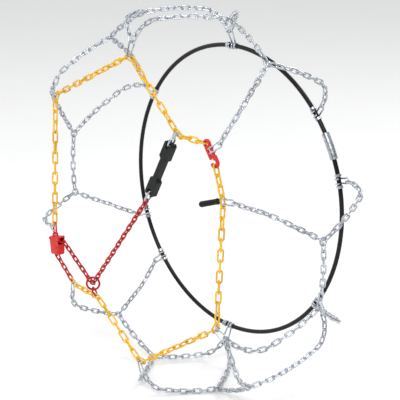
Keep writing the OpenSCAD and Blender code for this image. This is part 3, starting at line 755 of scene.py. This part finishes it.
def rounded_lock_part(node, body, slot, keep=None):
    """A lock part cut down to a soft-edged block; "keep" is a box that is left as it is."""
    objects = bpy.context.scene.collection.objects
    block = bpy.data.objects.new("block", lock_block(node + "_block", keep))
    rough = bpy.data.objects.new("rough", plain_mesh(node + "_rough", *welded(node)))
    objects.link(block)
    objects.link(rough)
    cut = rough.modifiers.new("soften", "BOOLEAN")
    cut.operation = "INTERSECT"
    cut.solver = "EXACT"
    cut.use_self = True
    cut.object = block
    seen = rough.evaluated_get(bpy.context.evaluated_depsgraph_get())
    mesh = bpy.data.meshes.new_from_object(seen)
    mesh.name = node + "_soft"
    bpy.data.objects.remove(rough)
    bpy.data.objects.remove(block)
    for polygon in mesh.polygons:
        polygon.use_smooth = True
    mesh.set_sharp_from_angle(angle=SOFT_BEND)
    tell_evenly(mesh)
    finish_piece(mesh, body, slot, node)


TURNED_SIDES = 40


def turned(name, node, body, slot, profile):
    """A round part in the place of a CAD rod: "profile" gives (share of length, share of radius)."""
    place = Place(*welded(node))
    length, radius = place.size[0], (place.size[1] + place.size[2]) / 4
    low = place.middle - place.axes[:, 0] * length / 2
    path = np.array([low + place.axes[:, 0] * length * share for share, _ in profile])
    radii = np.array([radius * share for _, share in profile])
    angles = 2 * math.pi * np.arange(TURNED_SIDES) / TURNED_SIDES
    out = np.cos(angles)[:, None] * place.axes[:, 1] + np.sin(angles)[:, None] * place.axes[:, 2]
    points = np.concatenate([p + r * out for p, r in zip(path, radii)])
    batch = Batch()
    batch.add(points, skin(len(profile), TURNED_SIDES), np.zeros(len(points)), EVEN_TONE)
    batch.piece(name, body, slot, node)


# ---------------------------------------------------------------- the object
# How worn by the road: the cross runs, and the runs along the tread
CROSS_WEAR = 0.5
TREAD_WEAR = 0.7
# A corner's radius as a share of the link's half width
SILVER_CORNER = 0.8
YELLOW_CORNER = 0.85
RED_CORNER = 0.9
CONNECTOR_CORNER = 0.97


def add_net():
    for i in range(1, 13):
        for side in ("outer", "inner"):
            name = f"{side}_cross_{i}"
            chain(name, name, "galvanised", SILVER_CORNER, CROSS_WEAR)
    for i in range(1, 7):
        name = f"centre_run_{i}"
        chain(name, name, "galvanised", SILVER_CORNER, TREAD_WEAR)
    rings("junction_rings", "net", "galvanised")
    hook_low, hook_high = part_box("closing_hook")
    hook_middle = np.array((hook_low + hook_high) / 2)
    clips("outer_clips", "net", "galvanised", SIDE_CORE, PLATE_CORE, hook_middle)
    clips("inner_clips", "net", "galvanised", CABLE_CORE)


def add_side_chain():
    for part in ("cb", "ba", "ah", "gh", "fg", "ef", "de"):
        chain("side_chain_" + part, "net", "yellow_paint", YELLOW_CORNER)
    edged("closing_hook", "net", "bright_red", 0.35 * MM)


def add_tension_line():
    chain("lock_shackle", "net", "bright_red", RED_CORNER)
    chain("lock_strand", "net", "red_paint", RED_CORNER)
    chain("return_strand", "net", "red_paint", RED_CORNER)
    chain("ring_shackle", "net", "red_paint", RED_CORNER)
    chain("pull_chain", "pull_chain", "red_paint", RED_CORNER)
    rings("guide_ring", "guide_ring", "red_paint")
    chain("chain_connector", "pull_chain", "galvanised", CONNECTOR_CORNER)
    edged("tensioner_band", "rubber_band", "rubber", 0.9 * MM, 0.05 * MM)
    edged("tensioner_hook", "tensioner_hook", "galvanised", 0.6 * MM)


LUG_HEIGHT = 8.0 * MM
LUG_ROOM = 1.0 * MM


def add_lock():
    low, high = (np.array(v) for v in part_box("lock_housing"))
    lug_foot = high[2] - LUG_HEIGHT
    lug = (np.array([low[0] - LUG_ROOM, low[1] - LUG_ROOM, lug_foot]), high + LUG_ROOM)
    rounded_lock_part("lock_housing", "net", "bright_red", lug)
    rounded_lock_part("lock_cover", "net", "bright_red")
    edged("lock_pins", "net", "bright_red", 0.4 * MM)
    edged("lock_roller", "lock_roller", "lock_steel", 0.3 * MM)
    edged("lock_pawl", "lock_pawl", "lock_steel", 0.2 * MM)
    edged("lock_spring", "net", "lock_steel", 0.05 * MM)


# A dipped sleeve, in shares of its length and radius: a rolled lip, a slim body and a rounded tip
GRIP_LIP = [(0.0, 0.80), (0.01, 0.93), (0.03, 1.0), (0.06, 1.0), (0.08, 0.94), (0.10, 0.90)]
GRIP_BODY = [(0.25, 0.89), (0.4, 0.9), (0.6, 0.92), (0.8, 0.94)]
TIP_LENGTH, TIP_RADIUS = 0.14, 0.95
GRIP_TIP = [
    (1 - TIP_LENGTH * (1 - math.sin(math.radians(t))), TIP_RADIUS * math.cos(math.radians(t)))
    for t in range(0, 90, 9)
]
GRIP_PROFILE = GRIP_LIP + GRIP_BODY + GRIP_TIP


def add_inner_cable():
    edged("inner_cable", "net", "cable_sleeve", 0.2 * MM)
    edged("cable_ferrules", "net", "galvanised", 0.4 * MM)
    edged("cable_coupling", "cable_coupling", "galvanised", 0.5 * MM)
    turned("black_grip_sleeve", "black_grip", "net", "rubber", GRIP_PROFILE)


# ---------------------------------------------------------------- studio
FLOOR_HALF = 12
ROOM_LIGHT = 0.16
CEILING_LIGHT = 0.95
COVE_EDGE = (-0.75, -0.1)  # direction's share towards the camera, from white cove to dim room
CEILING_EDGE = (0.25, 0.8)  # direction's share upwards, from no ceiling to full brightness


def add_floor():
    low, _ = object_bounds()
    mesh = bpy.data.meshes.new("floor")
    work = bmesh.new()
    bmesh.ops.create_grid(work, x_segments=8, y_segments=8, size=FLOOR_HALF)
    work.to_mesh(mesh)
    work.free()
    floor = bpy.data.objects.new("floor", mesh)
    floor.location = (0, 0, low.z)
    bpy.context.scene.collection.objects.link(floor)
    mesh.materials.append(plain_floor())


def add_light(name, place, size, power):
    """An area light that faces the object's middle."""
    data = bpy.data.lights.new(name, "AREA")
    data.shape = "RECTANGLE"
    data.size, data.size_y = size
    data.energy = power
    light = bpy.data.objects.new(name, data)
    bpy.context.scene.collection.objects.link(light)
    light.location = place
    light.rotation_euler = (-Vector(place)).to_track_quat("-Z", "Y").to_euler()


def add_surroundings():
    """A white cove behind the object, a bright ceiling, and a dim room on the near side."""
    world = bpy.data.worlds.new("studio")
    world.use_nodes = True
    tree = world.node_tree
    where = tree.nodes.new("ShaderNodeTexCoord").outputs["Generated"]
    nearness = tree.nodes.new("ShaderNodeVectorMath")
    nearness.operation = "DOT_PRODUCT"
    nearness.inputs[1].default_value = (math.sin(VIEW_AZIMUTH), -math.cos(VIEW_AZIMUTH), 0)
    tree.links.new(where, nearness.inputs[0])
    height = tree.nodes.new("ShaderNodeSeparateXYZ")
    tree.links.new(where, height.inputs[0])
    cove = tree.nodes.new("ShaderNodeMapRange")
    ceiling = tree.nodes.new("ShaderNodeMapRange")
    for node, value, limits in (
        (cove, nearness.outputs["Value"], (*COVE_EDGE, 1.0, ROOM_LIGHT)),
        (ceiling, height.outputs["Z"], (*CEILING_EDGE, 0.0, CEILING_LIGHT)),
    ):
        tree.links.new(value, node.inputs[0])
        for index, limit in enumerate(limits):
            node.inputs[index + 1].default_value = limit
    brighter = tree.nodes.new("ShaderNodeMath")
    brighter.operation = "MAXIMUM"
    tree.links.new(cove.outputs[0], brighter.inputs[0])
    tree.links.new(ceiling.outputs[0], brighter.inputs[1])
    sky = tree.nodes["Background"]
    tree.links.new(brighter.outputs[0], sky.inputs["Strength"])
    sky.inputs["Color"].default_value = (0.99, 0.995, 1, 1)
    bpy.context.scene.world = world


def add_studio():
    add_floor()
    add_surroundings()
    bpy.context.scene.view_settings.view_transform = "Standard"
    add_light("key", (2.2, -2.6, 3.0), (1.2, 1.2), 95)
    add_light("fill", (-2.8, -2.2, 1.4), (2.0, 2.0), 28)
    add_light("rim", (0.5, 2.8, 2.6), (1.6, 1.0), 35)


add_camera()
add_net()
add_side_chain()
add_tension_line()
add_lock()
add_inner_cable()
add_studio()
